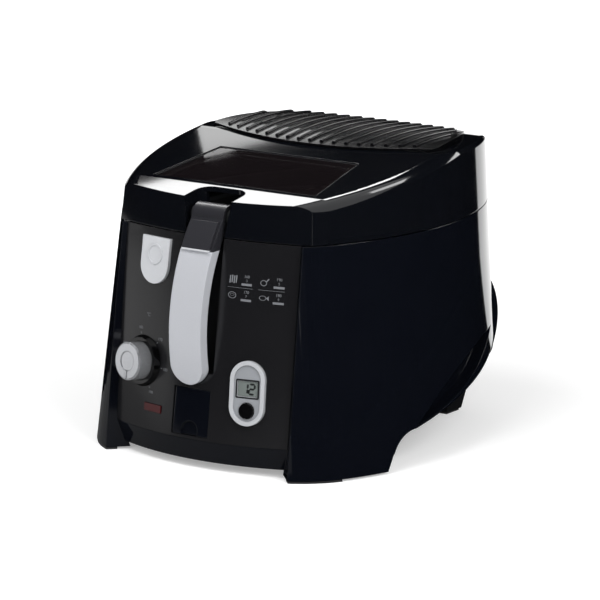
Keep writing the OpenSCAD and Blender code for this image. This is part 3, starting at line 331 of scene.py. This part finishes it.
worn = {
    "casing": ["body_shell", "rear_cover", "drain_door"],
    "lid": ["lid_shell"],
    "panel": ["front_panel"],
    "cover": ["filter_cover"],
    "base": ["base_plate", "rear_legs"],
    "inner": ["top_deck", "lid_inner", "filter_tray", "rod_guides", "handle_bracket"],
    "rubber": ["foot_pads", "cord_bush", "window_seal"],
    "silicone": ["lid_seal", "shaft_seal"],
    "hose": ["drain_hose", "hose_cap"],
    "slider": ["handle_slider"],
    "ringBlackAndShade": ["knob_ring"],
    "key": ["timer_button"],
    "handle": ["lift_handle"],
    "silver": ["lid_button"],
    "knob": ["temp_knob"],
    "bezel": ["timer_bezel"],
    "steel": ["window_clamp", "handle_pin", "hinge_pin", "latch_pin", "latch_spring", "thermal_probe",
              "base_screws", "timer_battery"],
    "wire": ["basket"],
    "zinc": ["basket_carrier", "motor_bracket", "latch", "drive_shaft"],
    "brass": ["drain_valve"],
    "motor": ["gear_motor"],
    "bowlCoat": ["bowl"],
    "element": ["heating_element"],
    "glass": ["window_glass"],
    "felt": ["filter_pad"],
    "ceramic": ["thermostat", "lamp_holder"],
    "lcd": ["timer_lcd"],
    "board": ["timer_board"],
    "lamp": ["lamp_lens"],
}
dressed = set()
for finish, names in worn.items():
    for name in names:
        node = nodes[name]
        for slot in node.material_slots:
            slot.material = finishes[finish]
        dressed.add(name)
print("finishes on", len(dressed), "nodes, left plain:", sorted(set(nodes) - dressed))


# front surface, for everything printed or set on it
frontSurface = {"creaseY": -1.5, "creaseZ": 25.0, "lean": 8.22, "lowBow": 220.0, "highBow": 320.0,
                "seamZ": 187.0, "middleY": 156.0}


def frontDepth(x, z):
    # The front is a leaning cone whose bow opens steadily from lowBow at the crease to highBow at the seam.
    # With v and w the distances behind and above the cone's tip, v is the larger root of a*v*v + b*v + c = 0.
    lean = math.radians(frontSurface["lean"])
    rise = frontSurface["seamZ"] - frontSurface["creaseZ"]
    rate = (frontSurface["highBow"] - frontSurface["lowBow"]) / rise * math.cos(lean) ** 2
    half = math.atan(rate)
    drop = frontSurface["lowBow"] * math.cos(lean) / rate
    tipY = frontSurface["creaseY"] - drop * math.tan(lean)
    axisY, axisZ, c2 = math.sin(half + lean), math.cos(half + lean), math.cos(half) ** 2
    w = np.asarray(z, float) - (frontSurface["creaseZ"] - drop)
    a = axisY ** 2 - c2
    b = 2 * w * axisY * axisZ
    c = w * w * axisZ ** 2 - c2 * (np.asarray(x, float) ** 2 + w * w)
    return tipY + (-b + np.sqrt(b * b - 4 * a * c)) / (2 * a) - frontSurface["middleY"]


def frontAxes(x, z):
    # middle, right, up and outward directions of the front at (x, z)
    step = 0.01
    slopeX = (frontDepth(x + step, z) - frontDepth(x - step, z)) / (2 * step)
    slopeZ = (frontDepth(x, z + step) - frontDepth(x, z - step)) / (2 * step)
    out = np.array([slopeX, -1.0, slopeZ])
    out /= np.linalg.norm(out)
    yaw = math.atan2(out[0], -out[1])
    right = np.array([math.cos(yaw), math.sin(yaw), 0.0])
    return np.array([x, float(frontDepth(x, z)), z]), right, np.cross(out, right), out


def onFront(shapes, x, z, lift):
    # lays flat shapes (u right, v up, h out of the surface, in millimetres) on the curved front round (x, z)
    points, faces = joinShapes(shapes)
    middle, right, up, out = frontAxes(x, z)
    flat = middle + points[:, :1] * right + points[:, 1:2] * up
    flat[:, 1] = frontDepth(flat[:, 0], flat[:, 2])
    return (flat + (points[:, 2:3] + lift) * out) * mm, faces


def onPlane(shapes, x, z, lift):
    # the same, but flat, at a fixed height over the middle of the spot
    points, faces = joinShapes(shapes)
    middle, right, up, out = frontAxes(x, z)
    return (middle + points[:, :1] * right + points[:, 1:2] * up + (points[:, 2:3] + lift) * out) * mm, faces


def flatPlate(outline, thick):
    # a closed plate: the outline at height 0 and again at thick, with walls between
    outline = np.asarray(outline, float)
    n = len(outline)
    low = np.column_stack([outline, np.zeros(n)])
    high = np.column_stack([outline, np.full(n, thick)])
    ring = np.arange(n)
    walls = np.column_stack([ring, (ring + 1) % n, (ring + 1) % n + n, ring + n])
    return np.concatenate([low, high]), [list(ring[::-1])] + [list(ring + n)] + walls.tolist()


def ringBand(across, inner, outer, thick, low=0.0, squash=1.0, turns=64):
    # a flat ring between two radii: x = r cos t, y = r sin t * squash, closed top, bottom and walls
    t = np.linspace(0, 2 * np.pi, turns, endpoint=False)
    loops = [(inner, low), (outer, low), (outer, low + thick), (inner, low + thick)]
    points = np.concatenate([
        np.column_stack([across[0] + r * np.cos(t), across[1] + r * squash * np.sin(t), np.full(turns, h)])
        for r, h in loops])
    k = np.arange(turns)
    faces = []
    for i in range(4):
        a, b = i * turns, (i + 1) % 4 * turns
        faces += np.column_stack([a + k, a + (k + 1) % turns, b + (k + 1) % turns, b + k])[:, ::-1].tolist()
    return points, faces


def filledCurve(curve, thick, place):
    # thickens a filled curve into a closed, welded mesh standing on height 0 at place, in millimetres
    curve.extrude = thick / 2
    holder = bpy.data.objects.new("outline", curve)
    scene.collection.objects.link(holder)
    bpy.context.view_layer.update()
    mesh = bpy.data.meshes.new_from_object(holder.evaluated_get(bpy.context.evaluated_depsgraph_get()))
    bpy.data.objects.remove(holder)
    shape = bmesh.new()
    shape.from_mesh(mesh)
    bmesh.ops.remove_doubles(shape, verts=shape.verts, dist=0.001)
    bmesh.ops.recalc_face_normals(shape, faces=shape.faces)
    shape.verts.index_update()
    points = np.array([v.co[:] for v in shape.verts]) + np.array([place[0], place[1], thick / 2])
    faces = [[v.index for v in f.verts] for f in shape.faces]
    shape.free()
    return points, faces


def printedWords(words, size, thick, place=(0.0, 0.0)):
    # letters from the built-in type
    curve = bpy.data.curves.new("words", "FONT")
    curve.body, curve.size, curve.align_x, curve.align_y, curve.resolution_u = words, size, "CENTER", "CENTER", 3
    return filledCurve(curve, thick, place)


def cutPlate(outlines, thick, low=0.0):
    # a closed plate inside the first outline, with each further outline cut out of it
    curve = bpy.data.curves.new("plate", "CURVE")
    curve.dimensions, curve.fill_mode = "2D", "BOTH"
    for outline in outlines:
        spline = curve.splines.new("POLY")
        spline.points.add(len(outline) - 1)
        flat = np.column_stack([outline, np.zeros(len(outline)), np.ones(len(outline))])
        spline.points.foreach_set("co", flat.ravel())
        spline.use_cyclic_u = True
    points, faces = filledCurve(curve, thick, (0.0, 0.0))
    return points + np.array([0, 0, low]), faces


def roundedBox(middle, wide, tall, corner, steps=9):
    # outline of a box with round corners: each corner turns a quarter circle
    turns = np.radians(np.linspace(0, 90, steps))
    ring = []
    for k, (sx, sy) in enumerate(((1, 1), (-1, 1), (-1, -1), (1, -1))):
        t = turns + k * np.pi / 2
        ring.append(np.column_stack([middle[0] + sx * (wide / 2 - corner) + corner * np.cos(t),
                                     middle[1] + sy * (tall / 2 - corner) + corner * np.sin(t)]))
    return np.concatenate(ring)


def longBar(x0, x1, y0, y1, thick, parts=12):
    # a bar cut into short lengths, so that it can follow the curved front: four corner points at each cut
    x = np.linspace(x0, x1, parts + 1)
    points = np.array([[px, py, pz] for px in x for py, pz in ((y0, 0), (y1, 0), (y1, thick), (y0, thick))])
    faces = [[4 * k + (c + 1) % 4, 4 * k + 4 + (c + 1) % 4, 4 * k + 4 + c, 4 * k + c]
             for k in range(parts) for c in range(4)]
    return points, faces + [[0, 1, 2, 3], [4 * parts + 3, 4 * parts + 2, 4 * parts + 1, 4 * parts]]


# printing on the front
ink = mouldedPlastic("paleGreyInk", "#6C6E72", 0.5, edge=0.02, grain=0.4, depth=0.002)
dialPrint = {"numbers": ["150", "160", "170", "180", "190"], "radius": 27.0, "from": 158.0, "to": -62.0, "size": 3.4,
             "knob": (-55.5, 79.0), "thick": 0.04}
guidePrint = {"middle": (50.5, 149.5), "numbers": ["160", "190", "170", "180"], "thick": 0.04}


def dialMarks():
    # each number stands upright on a circle round the knob, with a short tick between it and the knob
    shapes = []
    angles = np.radians(np.linspace(dialPrint["from"], dialPrint["to"], len(dialPrint["numbers"])))
    for words, t in zip(dialPrint["numbers"], angles):
        shapes.append(printedWords(words, dialPrint["size"], dialPrint["thick"],
                                   (dialPrint["radius"] * math.cos(t), dialPrint["radius"] * math.sin(t))))
        ray, side = np.array([math.cos(t), math.sin(t)]), np.array([-math.sin(t), math.cos(t)]) * 0.22
        near, far = ray * (dialPrint["radius"] - 5.2), ray * (dialPrint["radius"] - 3.6)
        shapes.append(flatPlate([near - side, far - side, far + side, near + side], dialPrint["thick"]))
    shapes.append(printedWords("°C", 4.0, dialPrint["thick"], (2.0, 38.0)))
    return onFront(shapes, *dialPrint["knob"], 0.01)


def guideMarks():
    # a plain cooking guide: four cells, each with a simple outline, a number and a filled bar below it
    shapes, thick = [], guidePrint["thick"]
    cells = [(-20.5, 6.5), (7.5, 6.5), (-20.5, -6.0), (7.5, -6.0)]
    for i, ((x, y), words) in enumerate(zip(cells, guidePrint["numbers"])):
        if i == 0:      # sticks
            for k in range(4):
                s = np.array([[-0.55, -3], [0.55, -3], [0.95, 3], [-0.15, 3]]) + [x - 2.7 + 1.9 * k, y + 0.4 * (k % 2)]
                shapes.append(flatPlate(s, thick))
        elif i == 1:    # drop shape with a stem
            shapes.append(ringBand((x - 0.6, y - 0.6), 2.2, 2.8, thick, squash=0.85))
            shapes.append(flatPlate(np.array([[1.3, 0.9], [1.9, 0.3], [4.2, 2.6], [3.6, 3.2]]) + [x, y], thick))
        elif i == 2:    # round
            shapes.append(ringBand((x, y), 3.1, 3.7, thick, squash=0.72))
            shapes.append(ringBand((x, y + 0.3), 1.6, 1.95, thick, squash=0.5))
        else:           # lens with a tail
            shapes.append(ringBand((x - 0.8, y), 2.6, 3.15, thick, squash=0.6))
            shapes.append(flatPlate(np.array([[2.2, 0], [4.4, -1.9], [4.4, 1.9]]) + [x, y], thick))
        shapes.append(printedWords(words, 3.3, thick, (x + 12.6, y + 3.0)))
        shapes.append(printedWords(str(3 + 2 * i), 2.8, thick, (x + 12.6, y - 0.3)))
        shapes.append(longBar(x + 8.0, x + 17.2, y - 4.2, y - 2.4, thick, 5))
    for x0, x1 in ((-25, -2.5), (2.5, 25)):
        shapes.append(longBar(x0, x1, 0.15, 0.38, thick))
    return onFront(shapes, *guidePrint["middle"], 0.01)


meshPiece("dial_numbers", "base", "silver", ink, *dialMarks(), smooth=False)
meshPiece("cooking_guide", "base", "silver", ink, *guideMarks(), smooth=False)
print("front printing done")


# timer display
displayInk = mouldedPlastic("displaySegments", "#17191A", 0.35, edge=0.02, grain=0.5, depth=0.001)
display = {"timer": (51.0, 67.5), "face": 1.0, "tall": 8.0, "wide": 4.6, "stroke": 1.55, "slant": 0.06,
           "digits": {-2.6: "bc", 3.4: "abged"}, "rise": 3.5}


def segmentBars(middle, lit):
    # a seven-bar figure: each bar is a long hexagon, leaned over by slant times its height
    w, h, s = display["wide"], display["tall"], display["stroke"]
    gap = 0.12
    ends = {"a": ((-w / 2, h / 2), (w / 2, h / 2)), "g": ((-w / 2, 0), (w / 2, 0)),
            "d": ((-w / 2, -h / 2), (w / 2, -h / 2)), "b": ((w / 2, h / 2), (w / 2, 0)),
            "c": ((w / 2, 0), (w / 2, -h / 2)), "e": ((-w / 2, 0), (-w / 2, -h / 2))}
    shapes = []
    for name in lit:
        start, stop = (np.array(p, float) for p in ends[name])
        run = (stop - start) / np.linalg.norm(stop - start)
        side = np.array([-run[1], run[0]]) * s / 2
        a, b = start + run * gap, stop - run * gap
        point = run * s / 2
        bar = np.array([a, a + point - side, b - point - side, b, b - point + side, a + point + side])
        bar[:, 0] += display["slant"] * bar[:, 1] + middle
        bar[:, 1] += display["rise"]
        shapes.append(flatPlate(bar, 0.04))
    return shapes


figures = [bar for middle, lit in display["digits"].items() for bar in segmentBars(middle, lit)]
meshPiece("display_figures", "base", "lcd", displayInk,
          *onPlane(figures, *display["timer"], display["face"] + 0.01), smooth=False)

# plate round the display and its dark frame
plateShade = plainMetal("greyInsetPlate", "#A2A5AA", 0.32, edge=0.2, brush=0.5, depth=0.002, metallic=0.35)
frameShade = mouldedPlastic("displayFrame", "#1C1D1F", 0.3, edge=0.1, grain=0.6, depth=0.001)
timerPlate = {"wide": 22.6, "tall": 44.6, "height": 1.42, "thick": 0.35, "key": (0.0, -14.0), "keyRadius": 7.0}
displayFrame = {"opening": (17.8, 12.8, 0.6), "outside": (20.4, 15.4, 1.4), "thick": 0.15, "above": 0.02}
opening = roundedBox((0, display["rise"]), *displayFrame["opening"])
around = np.radians(np.linspace(0, 360, 40, endpoint=False))
keyHole = np.column_stack([timerPlate["key"][0] + timerPlate["keyRadius"] * np.cos(around),
                           timerPlate["key"][1] + timerPlate["keyRadius"] * np.sin(around)])
outside = roundedBox((0, 0), timerPlate["wide"], timerPlate["tall"], timerPlate["wide"] / 2 - 0.01, 20)
plate = cutPlate([outside, opening, keyHole], timerPlate["thick"], timerPlate["height"])
meshPiece("timer_plate", "base", "silver", plateShade, *onPlane([plate], *display["timer"], 0.0), smooth=False)
rim = cutPlate([roundedBox((0, display["rise"]), *displayFrame["outside"]), opening], displayFrame["thick"],
               timerPlate["height"] + timerPlate["thick"] + displayFrame["above"])
meshPiece("display_frame", "base", "lcd", frameShade, *onPlane([rim], *display["timer"], 0.0), smooth=False)
print("display done")


# studio
studio = {"floorGlow": 0.34, "floorReach": 30.0, "worldFill": 0.45, "whitePoint": 1.0, "clothSteps": 40,
          "clothLift": 1.5}


def seenDirectly(tree):
    # 1 for what is seen straight, in a gloss or through glass, and 0 for light that only fills
    rays = addNode(tree, "ShaderNodeLightPath")
    straight = addNode(tree, "ShaderNodeMath", {"operation": "MAXIMUM"}, n0=rays.outputs["Is Camera Ray"],
                       n1=rays.outputs["Is Glossy Ray"])
    return addNode(tree, "ShaderNodeMath", {"operation": "MAXIMUM"}, n0=straight.outputs[0],
                   n1=rays.outputs["Is Transmission Ray"]).outputs[0]


def studioFloor():
    # pale card; seen directly, in metal or through glass it is lifted to white with distance, and keeps the soft shadow
    material, tree = emptyMaterial("paleCard")
    seen = seenDirectly(tree)
    place = addNode(tree, "ShaderNodeTexCoord").outputs["Object"]
    away = addNode(tree, "ShaderNodeVectorMath", {"operation": "LENGTH"}, n0=place)
    lift = addNode(tree, "ShaderNodeMapRange", {"interpolation_type": "SMOOTHSTEP"}, Value=away.outputs["Value"],
                   From_Min=0.15, From_Max=1.0, To_Min=studio["floorGlow"], To_Max=1.0)
    glow = addNode(tree, "ShaderNodeMath", {"operation": "MULTIPLY"}, n0=seen, n1=lift.outputs["Result"])
    card = addNode(tree, "ShaderNodeBsdfDiffuse", None, Color=linearColour("#E6E6E6"))
    light = addNode(tree, "ShaderNodeEmission", None, Strength=glow.outputs[0])
    both = addNode(tree, "ShaderNodeAddShader", None, n0=card.outputs[0], n1=light.outputs[0])
    closeMaterial(tree, both.outputs[0])
    reach = studio["floorReach"]
    corners = [[-reach, -reach, 0], [reach, -reach, 0], [reach, reach, 0], [-reach, reach, 0]]
    floor = meshPiece("floor", None, None, material, corners, [[0, 1, 2, 3]], smooth=False)


def studioWorld():
    world = bpy.data.worlds.new("studio")
    scene.world = world
    world.use_nodes = True
    tree = world.node_tree
    tree.nodes.clear()
    seen = seenDirectly(tree)
    level = addNode(tree, "ShaderNodeMapRange", None, Value=seen, To_Min=studio["worldFill"],
                    To_Max=studio["whitePoint"])
    air = addNode(tree, "ShaderNodeBackground", None, Color=(1, 1, 1, 1), Strength=level.outputs["Result"])
    addNode(tree, "ShaderNodeOutputWorld", None, Surface=air.outputs[0])


def softBox(name, place, target, size, radiance, diffuse=True, glossy=True):
    # a flat light of even radiance; its power is radiance times pi times its area
    light = bpy.data.lights.new(name, "AREA")
    light.shape, light.size, light.size_y = "RECTANGLE", size[0], size[1]
    light.energy = radiance * math.pi * size[0] * size[1]
    lamp = bpy.data.objects.new(name, light)
    scene.collection.objects.link(lamp)
    lamp.location = place
    lamp.rotation_mode = "QUATERNION"
    lamp.rotation_quaternion = (Vector(target) - Vector(place)).to_track_quat("-Z", "Y")
    lamp.visible_camera = False
    lamp.visible_diffuse, lamp.visible_glossy = diffuse, glossy
    return lamp


def blackFlag(name, turns, radius, heights, material):
    # a standing black cloth, bent round the object: a strip of a cylinder that only reflections see
    steps = studio["clothSteps"]
    t = np.radians(np.linspace(turns[0], turns[1], steps))
    wall = [np.column_stack([radius * np.cos(t), radius * np.sin(t), np.full(steps, h)]) for h in heights]
    k = np.arange(steps - 1)
    strips = np.column_stack([k, k + 1, k + steps + 1, k + steps])
    flag = meshPiece(name, None, None, material, np.concatenate(wall), strips, smooth=False)
    flag.visible_camera = flag.visible_diffuse = flag.visible_shadow = flag.visible_transmission = False


def groundFlag(name, turns, radius, material):
    # the same cloth laid on the floor: a sector that only reflections see
    steps, height = studio["clothSteps"], studio["clothLift"] * mm
    t = np.radians(np.linspace(turns[0], turns[1], steps))
    edge = np.column_stack([radius * np.cos(t), radius * np.sin(t), np.full(steps, height)])
    points = np.concatenate([[[0, 0, height]], edge])
    flag = meshPiece(name, None, None, material, points, [[0, k, k + 1] for k in range(1, steps)], smooth=False)
    flag.visible_camera = flag.visible_diffuse = flag.visible_shadow = flag.visible_transmission = False


flagCloth, clothTree = emptyMaterial("blackVelvet")
closeMaterial(clothTree, addNode(clothTree, "ShaderNodeBsdfDiffuse", None, Color=(0.002, 0.002, 0.002, 1)).outputs[0])
greyCloth, clothTree = emptyMaterial("greyFelt")
closeMaterial(clothTree, addNode(clothTree, "ShaderNodeBsdfDiffuse", None, Color=(0.16, 0.16, 0.16, 1)).outputs[0])

studioFloor()
studioWorld()
softBox("keyBox", (-0.25, -0.75, 1.5), (0, 0, 0.1), (1.0, 0.8), 4.4, glossy=False)
softBox("rightFill", (1.3, -0.6, 0.9), (0, 0, 0.1), (0.8, 0.8), 8.5, glossy=False)
softBox("frontFill", (0.2, -1.8, 1.0), (0, 0, 0.1), (1.0, 0.6), 4.0, glossy=False)
softBox("browGleam", (-0.41, 0.25, 0.70), (0, -0.115, 0.218), (0.62, 0.13), 9, diffuse=False)
softBox("shoulderGleam", (0.22, 0.31, 0.89), (0.1, -0.09, 0.21), (0.15, 0.15), 7, diffuse=False)
softBox("windowGleam", (-0.33, 0.365, 0.42), (-0.05, 0.06, 0.245), (0.13, 0.07), 2.4, diffuse=False)
softBox("ribGleam", (0.25, 0.70, 0.655), (0, 0.06, 0.245), (0.30, 0.16), 6, diffuse=False)
softBox("edgeGleam", (0.58, -0.69, 0.30), (0.13, -0.13, 0.12), (0.05, 0.5), 1.6, diffuse=False)
softBox("panelGleam", (-0.66, -0.44, 0.05), (-0.06, -0.15, 0.07), (0.52, 0.20), 0.8, diffuse=False)
blackFlag("flagRight", (-80, 83), 0.95, (0.0, 1.6), flagCloth)
blackFlag("flagBack", (83, 150), 0.95, (0.26, 1.6), flagCloth)
blackFlag("flagLeft", (150, 280), 0.95, (0.0, 1.6), flagCloth)
groundFlag("sideCloth", (-62, 83), 1.1, flagCloth)
groundFlag("frontCloth", (185, 298), 1.1, greyCloth)
groundFlag("leftCloth", (140, 185), 1.1, flagCloth)
print("studio ready")
